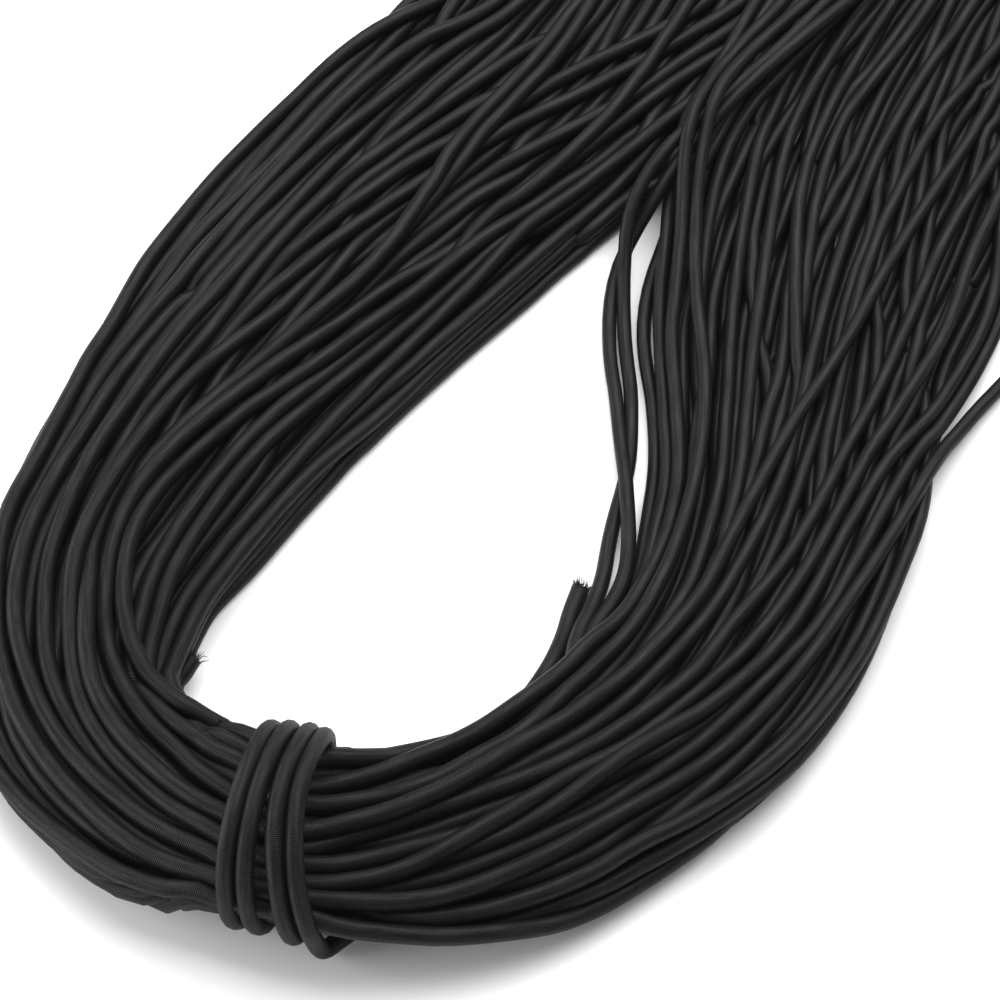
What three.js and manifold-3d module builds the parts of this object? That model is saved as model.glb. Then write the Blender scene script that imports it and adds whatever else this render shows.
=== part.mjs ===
// Tied hank of round elastic cord, lying flat.
// Millimetres, +Z up. The hank's long axis is along +Y, it rests on the plane z = 0, and the
// origin is under its middle.

import * as THREE from 'three';
import { mergeVertices } from 'three/addons/utils/BufferGeometryUtils.js';
import Module from 'manifold-3d';

// Driving dimensions of the cord and of the wound hank
const cordDiameter = 2.5;
const turnsOfCord = 56;
const packing = 0.8;
const flatShare = 0.15;
const clearance = 0.3;

// Locks of cords that show as ridges. They run round the hank, and drift across it as they go.
const ridges = 17;
const pointsPerRidge = 3;
const ridgeDepth = 0.8;
const wideDrift = 0.12;
const narrowDrift = 0.07;
const stations = 96;
const outlineSteps = 240;

// The tie is the same cord, thinner because it is stretched tight.
const tieCordDiameter = 2.2;
const tieStepsPerTurn = 24;

const cordSides = 8;
const slippedTurnSteps = 30;
const looseEndSteps = 18;
const stubSteps = 3;

const blackCord = 0x2b2b2c;
const cordRoughness = 0.6;

// Middle line of the wound cord, once round, from the tie up the right leg. x and y are the
// place of a section, width is its width, lift the height of its underside, and over how far
// its inner side is raised to lie on the other leg.
const sections = [
  { x: 2.5, y: -126.7, width: 23.4, lift: 2.8, over: 0 },
  { x: 9.4, y: -123.8, width: 25.2, lift: 2.6, over: 0 },
  { x: 18.5, y: -117.8, width: 27.2, lift: 0.5, over: 0 },
  { x: 29.4, y: -106.1, width: 29.1, lift: 0, over: 0 },
  { x: 38.2, y: -88.9, width: 30.0, lift: 0, over: 0 },
  { x: 41.0, y: -71.9, width: 31.7, lift: 0, over: 0 },
  { x: 38.9, y: -53.8, width: 34.0, lift: 0, over: 0 },
  { x: 34.2, y: -38.7, width: 38.5, lift: 0, over: 1 },
  { x: 29.0, y: -20.5, width: 46.5, lift: 0, over: 4 },
  { x: 26.5, y: 4.5, width: 51.0, lift: 0, over: 6 },
  { x: 27.0, y: 29.5, width: 48.0, lift: 0, over: 5 },
  { x: 29.5, y: 54.5, width: 42.0, lift: 0, over: 1 },
  { x: 30.0, y: 79.5, width: 37.0, lift: 0, over: 0 },
  { x: 27.0, y: 101.5, width: 34.5, lift: 0, over: 0 },
  { x: 16.0, y: 119.5, width: 33.5, lift: 0, over: 0 },
  { x: 0.0, y: 125.5, width: 33.0, lift: 0, over: 0 },
  { x: -16.0, y: 118.5, width: 33.5, lift: 0, over: 0 },
  { x: -26.0, y: 100.5, width: 34.5, lift: 0, over: 0 },
  { x: -27.0, y: 78.5, width: 37.0, lift: 0, over: 0 },
  { x: -22.0, y: 51.5, width: 41.0, lift: 0, over: 0 },
  { x: -18.5, y: 25.5, width: 43.5, lift: 0, over: 0 },
  { x: -21.2, y: -1.7, width: 46.4, lift: 0, over: 0 },
  { x: -28.8, y: -28.8, width: 46.0, lift: 0, over: 0 },
  { x: -34.9, y: -57.7, width: 41.7, lift: 0, over: 0 },
  { x: -38.1, y: -83.6, width: 37.7, lift: 0, over: 0 },
  { x: -38.2, y: -102.5, width: 31.6, lift: 0, over: 0 },
  { x: -31.4, y: -120.3, width: 27.0, lift: 0, over: 0 },
  { x: -16.0, y: -128.7, width: 26.6, lift: 0.5, over: 0 },
  { x: -5.4, y: -128.3, width: 24.2, lift: 2.6, over: 0 },
];

// Two turns that have slipped out of the hank's inner side. They start and end inside it.
const slippedTurns = [
  [
    { x: 27.0, y: -92.5, z: 6.0 },
    { x: 23.3, y: -81.2, z: 3.8 },
    { x: 24.0, y: -75.9, z: 3.4 },
    { x: 23.3, y: -70.2, z: 3.0 },
    { x: 21.1, y: -64.6, z: 2.8 },
    { x: 17.3, y: -58.2, z: 3.6 },
    { x: 10.4, y: -47.1, z: 1.6 },
    { x: 4.7, y: -37.6, z: 1.4 },
    { x: 1.5, y: -30.3, z: 1.6 },
    { x: 1.1, y: -23.7, z: 3.0 },
    { x: 1.1, y: -15.5, z: 6.0 },
    { x: 5.5, y: -2.5, z: 10.0 },
  ],
  [
    { x: 25.5, y: -93.5, z: 6.0 },
    { x: 21.9, y: -82.7, z: 3.6 },
    { x: 21.8, y: -78.0, z: 3.2 },
    { x: 21.1, y: -72.9, z: 2.4 },
    { x: 18.7, y: -64.9, z: 1.4 },
    { x: 15.6, y: -52.1, z: 1.4 },
    { x: 12.0, y: -44.5, z: 1.4 },
    { x: 6.6, y: -35.0, z: 1.4 },
    { x: 2.1, y: -25.2, z: 2.5 },
    { x: -0.1, y: -17.0, z: 5.5 },
    { x: 4.0, y: -4.5, z: 10.0 },
  ],
];

// The cord's first cut end sticks out of the hank's inner corner.
const cutStub = [
  { x: -25.0, y: -115.0, z: 4.0 },
  { x: -22.2, y: -110.9, z: 3.6 },
  { x: -21.7, y: -107.1, z: 3.8 },
];

// The cord's last cut end lies along the foot of the hank's inner side, and ends clear of it.
const looseEnd = [
  { x: 7.4, y: -111.9, z: 1.3 },
  { x: 10.6, y: -108.5, z: 1.3 },
  { x: 14.0, y: -103.8, z: 1.3 },
  { x: 17.0, y: -99.2, z: 1.3 },
  { x: 19.2, y: -93.5, z: 1.3 },
  { x: 20.1, y: -87.5, z: 1.3 },
  { x: 20.0, y: -82.5, z: 1.3 },
  { x: 19.3, y: -78.5, z: 1.3 },
  { x: 18.8, y: -74.6, z: 1.3 },
];

// The tie's turns, from its free end. outer and inner are a turn's places along the hank's
// middle line, from the tie's middle, where it passes the hank's outer and inner side.
const tieTurns = [
  { outer: 4.1, inner: 5.4 },
  { outer: 1.7, inner: 1.8 },
  { outer: -1.8, inner: -1.8 },
  { outer: -4.1, inner: -5.4 },
];

// The tie's free end sticks out at the outer side, down to the surface.
const tieFreeEnd = [
  { x: 12.0, y: -136.6, z: 2.2 },
  { x: 11.5, y: -137.7, z: 5.4 },
];

const wasm = await Module();
wasm.setup();

function namedMesh(name, geometry) {
  const material = new THREE.MeshStandardMaterial({
    color: blackCord, roughness: cordRoughness, metalness: 0,
  });
  const mesh = new THREE.Mesh(geometry, material);
  mesh.name = name;
  return mesh;
}

function vectors(rows) {
  return rows.map((row) => new THREE.Vector3(row.x, row.y, row.z));
}

// Two closed curves share one parameter: the middle line, and the sizes of its sections.
const middleLine = new THREE.CatmullRomCurve3(
  sections.map((row) => new THREE.Vector3(row.x, row.y, 0)), true, 'catmullrom', 0.5,
);
const sectionSizes = new THREE.CatmullRomCurve3(
  sections.map((row) => new THREE.Vector3(row.width, row.lift, row.over)), true, 'catmullrom', 0.5,
);
const bundleArea = turnsOfCord * Math.PI * (cordDiameter / 2) ** 2 / packing;

// A section of the wound cord: its middle, the way out of the loop, and its sizes. Its height
// follows from its width, because every section holds the same number of cords.
function sectionFrame(share) {
  const t = middleLine.getUtoTmapping(((share % 1) + 1) % 1);
  const middle = middleLine.getPoint(t);
  const along = middleLine.getTangent(t);
  const outward = new THREE.Vector3(along.y, -along.x, 0);
  const sizes = sectionSizes.getPoint(t);
  const width = sizes.x;
  const height = 4 * bundleArea / (Math.PI * width);
  const lift = Math.max(0, sizes.y);
  const over = Math.max(0, sizes.z);
  return { middle, outward, width, height, lift, over };
}

// A point of a section's outline, grown by an offset, and sunk towards the middle by a depth
function outlinePoint(frame, angle, offset, depth) {
  const halfWidth = frame.width / 2 + offset - depth;
  const across = halfWidth * Math.cos(angle);
  const rise = 0.5 * (1 + Math.sin(angle)) * (1 + flatShare) - flatShare;
  const top = frame.height + 2 * offset - depth;
  const innerShare = Math.max(0, -Math.cos(angle));
  const raised = frame.over * innerShare ** 1.5;
  const height = Math.max(0, rise) * top + frame.lift - offset + raised;
  return frame.middle.clone()
    .addScaledVector(frame.outward, across)
    .add(new THREE.Vector3(0, 0, height));
}

// Angles that divide a section's outline into equal lengths, starting from a share of it
function evenAngles(frame, count, startShare) {
  const lengths = [0];
  let last = outlinePoint(frame, 0, 0, 0);
  for (let step = 1; step <= outlineSteps; step += 1) {
    const point = outlinePoint(frame, 2 * Math.PI * step / outlineSteps, 0, 0);
    lengths.push(lengths[step - 1] + point.distanceTo(last));
    last = point;
  }
  const total = lengths[outlineSteps];
  return Array.from({ length: count }, (_, index) => {
    const wanted = total * ((((index / count + startShare) % 1) + 1) % 1);
    let step = 1;
    while (step < outlineSteps && lengths[step] < wanted) step += 1;
    const part = (wanted - lengths[step - 1]) / (lengths[step] - lengths[step - 1]);
    return 2 * Math.PI * (step - 1 + part) / outlineSteps;
  });
}

// The ridges wander to and fro across the hank: widely twice in a round, and a little each third.
function ridgeShift(share) {
  const wide = wideDrift * Math.sin(2 * 2 * Math.PI * share);
  const narrow = narrowDrift * Math.sin(3 * 2 * Math.PI * share + 1);
  return wide + narrow;
}

function ridgedSection(share) {
  const frame = sectionFrame(share);
  const count = ridges * pointsPerRidge;
  const angles = evenAngles(frame, count, ridgeShift(share));
  return angles.map((angle, index) => {
    const depth = index % pointsPerRidge === 0 ? ridgeDepth : 0;
    return outlinePoint(frame, angle, 0, depth);
  });
}

function geometryOf(positions, indices) {
  const geometry = new THREE.BufferGeometry();
  geometry.setAttribute('position', new THREE.Float32BufferAttribute(positions, 3));
  geometry.setIndex(indices);
  return geometry;
}

// A closed loft through sections of equal point counts, with a fan of triangles at each end
function loft(rings) {
  const count = rings[0].length;
  const positions = rings.flat().flatMap((point) => [point.x, point.y, point.z]);
  const indices = [];
  for (let ring = 0; ring + 1 < rings.length; ring += 1) {
    for (let index = 0; index < count; index += 1) {
      const next = (index + 1) % count;
      const a = ring * count + index;
      const b = ring * count + next;
      const c = a + count;
      const d = b + count;
      indices.push(a, c, b, b, c, d);
    }
  }
  const addCap = (ring, outwardOrder) => {
    const middle = ring.reduce((sum, point) => sum.add(point), new THREE.Vector3())
      .divideScalar(count);
    const centre = positions.length / 3;
    const first = ring === rings[0] ? 0 : (rings.length - 1) * count;
    positions.push(middle.x, middle.y, middle.z);
    for (let index = 0; index < count; index += 1) {
      const a = first + index;
      const b = first + (index + 1) % count;
      indices.push(...(outwardOrder ? [centre, a, b] : [centre, b, a]));
    }
  };
  addCap(rings[0], true);
  addCap(rings[rings.length - 1], false);
  return geometryOf(positions, indices);
}

function cordTube(points, diameter, steps) {
  const section = new THREE.Shape();
  for (let side = 0; side < cordSides; side += 1) {
    const angle = 2 * Math.PI * side / cordSides;
    const x = diameter / 2 * Math.cos(angle);
    const y = diameter / 2 * Math.sin(angle);
    if (side === 0) section.moveTo(x, y);
    else section.lineTo(x, y);
  }
  const path = new THREE.CatmullRomCurve3(points, false, 'centripetal');
  return new THREE.ExtrudeGeometry(section, { steps, bevelEnabled: false, extrudePath: path });
}

function solidOf(geometry) {
  const bare = geometry.clone();
  bare.deleteAttribute('normal');
  bare.deleteAttribute('uv');
  const merged = mergeVertices(bare, 1e-4);
  return new wasm.Manifold(new wasm.Mesh({
    numProp: 3,
    vertProperties: new Float32Array(merged.attributes.position.array),
    triVerts: new Uint32Array(merged.index.array),
  }));
}

function geometryOfSolid(solid) {
  const mesh = solid.getMesh();
  return geometryOf(Array.from(mesh.vertProperties), Array.from(mesh.triVerts));
}

// The hank: two half rounds that meet at the tie and at the far end, with its slipped turns
function hankGeometry() {
  const half = stations / 2;
  const ringsOf = (first) => Array.from(
    { length: half + 1 },
    (_, step) => ridgedSection(((first + step) % stations) / stations),
  );
  let hank = solidOf(loft(ringsOf(0))).add(solidOf(loft(ringsOf(half))));
  for (const turn of slippedTurns) {
    hank = hank.add(solidOf(cordTube(vectors(turn), cordDiameter, slippedTurnSteps)));
  }
  hank = hank.add(solidOf(cordTube(vectors(cutStub), cordDiameter, stubSteps)));
  return geometryOfSolid(hank);
}

// The place of the tie's cord along the hank after some turns from the outer side. It goes over
// the top to the inner side, and under the hank to the outer side of the next turn.
function tiePlace(turns) {
  const index = Math.floor(turns);
  const part = turns - index;
  const turn = tieTurns[index];
  const next = tieTurns[Math.min(index + 1, tieTurns.length - 1)];
  const smooth = THREE.MathUtils.smoothstep;
  if (part < 0.5) return THREE.MathUtils.lerp(turn.outer, turn.inner, smooth(part, 0, 0.5));
  return THREE.MathUtils.lerp(turn.inner, next.outer, smooth(part, 0.5, 1));
}

// The tie: one cord, from its free end four times over the hank, with its other end under it,
// a quarter short of a whole turn
function tieGeometry() {
  const offset = tieCordDiameter / 2 + clearance;
  const roundLength = middleLine.getLength();
  const points = vectors(tieFreeEnd);
  const steps = tieTurns.length * tieStepsPerTurn - tieStepsPerTurn / 4;
  for (let step = 0; step <= steps; step += 1) {
    const turns = step / tieStepsPerTurn;
    const frame = sectionFrame(tiePlace(turns) / roundLength);
    points.push(outlinePoint(frame, 2 * Math.PI * turns, offset, 0));
  }
  return cordTube(points, tieCordDiameter, steps + tieFreeEnd.length);
}

const group = new THREE.Group();
group.add(namedMesh('hank', hankGeometry()));
group.add(namedMesh('tie', tieGeometry()));
group.add(namedMesh('loose_end', cordTube(vectors(looseEnd), cordDiameter, looseEndSteps)));

export default group;
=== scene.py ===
"""Looks of a tied hank of covered elastic cord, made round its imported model.

The tables are in millimetres and in pixels of the 1000 by 1000 photograph, and the scene is in
metres. The hank's long axis is along +Y, and it rests on the plane z = 0.
"""

import math
from collections import namedtuple

import bpy
import numpy as np
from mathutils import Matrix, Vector


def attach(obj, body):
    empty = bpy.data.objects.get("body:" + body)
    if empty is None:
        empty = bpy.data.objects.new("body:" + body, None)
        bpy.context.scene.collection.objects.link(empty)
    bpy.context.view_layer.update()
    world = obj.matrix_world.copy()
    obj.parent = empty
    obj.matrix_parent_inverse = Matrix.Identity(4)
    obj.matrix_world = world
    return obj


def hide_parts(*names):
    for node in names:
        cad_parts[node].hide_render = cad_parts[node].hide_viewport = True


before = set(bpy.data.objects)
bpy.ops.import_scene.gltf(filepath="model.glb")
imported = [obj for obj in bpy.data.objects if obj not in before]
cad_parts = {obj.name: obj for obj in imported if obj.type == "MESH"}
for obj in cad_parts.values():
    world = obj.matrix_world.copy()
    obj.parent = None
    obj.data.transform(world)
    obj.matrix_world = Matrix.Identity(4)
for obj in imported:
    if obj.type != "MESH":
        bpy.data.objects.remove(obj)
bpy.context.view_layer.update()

bl_info = {
    "name": "Tied hank of elastic cord",
    "version": (1, 0, 0),
    "blender": (4, 5, 0),
    "location": "View3D > Sidebar > Hank",
    "description": "Winds, ties and lights a hank of covered elastic cord",
    "category": "Add Mesh",
}

MM = 0.001
PHOTO_SIZE = 1000
SENSOR_WIDTH = 36.0

# The wound cord's middle line, once round from the tie up the right leg. Every section holds the
# same number of cords, so that its height follows from its width. lift is the height of its
# underside, and over how far its inner side is raised to lie on the other leg.
Section = namedtuple("Section", "x y width lift over")
SECTIONS = (
    Section(2.5, -126.7, 23.4, 2.8, 0),
    Section(9.4, -123.8, 25.2, 2.6, 0),
    Section(18.5, -117.8, 27.2, 0.5, 0),
    Section(29.4, -106.1, 29.1, 0, 0),
    Section(38.2, -88.9, 30.0, 0, 0),
    Section(41.0, -71.9, 31.7, 0, 0),
    Section(38.9, -53.8, 34.0, 0, 0),
    Section(34.2, -38.7, 38.5, 0, 1),
    Section(29.0, -20.5, 46.5, 0, 4),
    Section(26.5, 4.5, 51.0, 0, 6),
    Section(27.0, 29.5, 48.0, 0, 5),
    Section(29.5, 54.5, 42.0, 0, 1),
    Section(30.0, 79.5, 37.0, 0, 0),
    Section(27.0, 101.5, 34.5, 0, 0),
    Section(16.0, 119.5, 33.5, 0, 0),
    Section(0.0, 125.5, 33.0, 0, 0),
    Section(-16.0, 118.5, 33.5, 0, 0),
    Section(-26.0, 100.5, 34.5, 0, 0),
    Section(-27.0, 78.5, 37.0, 0, 0),
    Section(-22.0, 51.5, 41.0, 0, 0),
    Section(-18.5, 25.5, 43.5, 0, 0),
    Section(-21.2, -1.7, 46.4, 0, 0),
    Section(-28.8, -28.8, 46.0, 0, 0),
    Section(-34.9, -57.7, 41.7, 0, 0),
    Section(-38.1, -83.6, 37.7, 0, 0),
    Section(-38.2, -102.5, 31.6, 0, 0),
    Section(-31.4, -120.3, 27.0, 0, 0),
    Section(-16.0, -128.7, 26.6, 0.5, 0),
    Section(-5.4, -128.3, 24.2, 2.6, 0),
)

# The tie's turns from its free end: their places along the middle line, from the tie's middle,
# where they pass the hank's outer side, its top and its inner side, and how far they press into
# the outer side and stand off the inner one.
TieTurn = namedtuple("TieTurn", "outer top inner pressed raised")
TIE_TURNS = (
    TieTurn(4.0, 1.8, 4.4, 0.6, 0.0),
    TieTurn(1.7, -0.5, 1.2, 0.9, 0.7),
    TieTurn(-2.1, -3.2, -2.4, 1.6, 0.6),
    TieTurn(-4.3, -5.4, -5.6, 1.8, 0.0),
)
TIE_FREE_END = ((16.0, -127.0, 1.7), (14.2, -130.4, 1.6), (12.9, -133.1, 1.7), (11.8, -135.6, 2.6))

LOOSE_END = (
    (7.4, -111.9, 1.3),
    (10.6, -108.5, 1.3),
    (14.0, -103.8, 1.3),
    (17.0, -99.2, 1.3),
    (19.2, -93.5, 1.3),
    (20.1, -87.5, 1.3),
    (20.0, -82.5, 1.3),
    (19.3, -78.5, 1.3),
    (18.8, -74.6, 1.3),
)

CUT_STUB = (
    (-17.0, -120.5, 4.6),
    (-21.5, -118.6, 4.2),
    (-25.0, -115.0, 4.0),
    (-22.2, -110.9, 3.6),
    (-21.7, -107.1, 3.8),
)

# Turns that have slipped out of the hank's inner side, as routes
SLIPPED_TURNS = (
    (
        (27.0, -92.5, 6.0), (23.3, -81.2, 3.8), (24.0, -75.9, 3.4), (23.4, -70.2, 3.0),
        (21.1, -64.6, 3.2), (17.5, -58.2, 3.4), (14.9, -53.5, 1.8), (11.2, -47.3, 1.3),
        (7.4, -41.4, 1.3), (4.5, -35.7, 1.3), (2.6, -30.9, 1.3), (1.9, -27.5, 1.6),
        (2.3, -23.8, 3.6), (3.1, -19.3, 6.0), (3.8, -13.1, 8.0), (6.2, -2.5, 9.2),
        (10.5, 10.0, 10.0), (16.0, 25.0, 9.5),
    ),
    (
        (25.5, -93.5, 6.0), (21.9, -82.7, 3.6), (21.8, -78.0, 3.2), (21.1, -72.9, 2.4),
        (18.7, -64.9, 1.4), (17.2, -57.5, 1.3), (15.6, -52.1, 1.3), (12.0, -44.5, 1.3),
        (8.7, -39.2, 1.3), (6.4, -34.8, 1.5), (4.4, -30.8, 2.4), (2.7, -27.0, 3.9),
        (1.2, -23.9, 6.0), (0.7, -20.3, 7.6), (0.8, -17.0, 8.2), (1.4, -13.2, 9.0),
        (4.2, -4.5, 10.0), (9.0, 9.0, 9.5), (13.0, 25.0, 9.0),
    ),
)

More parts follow.
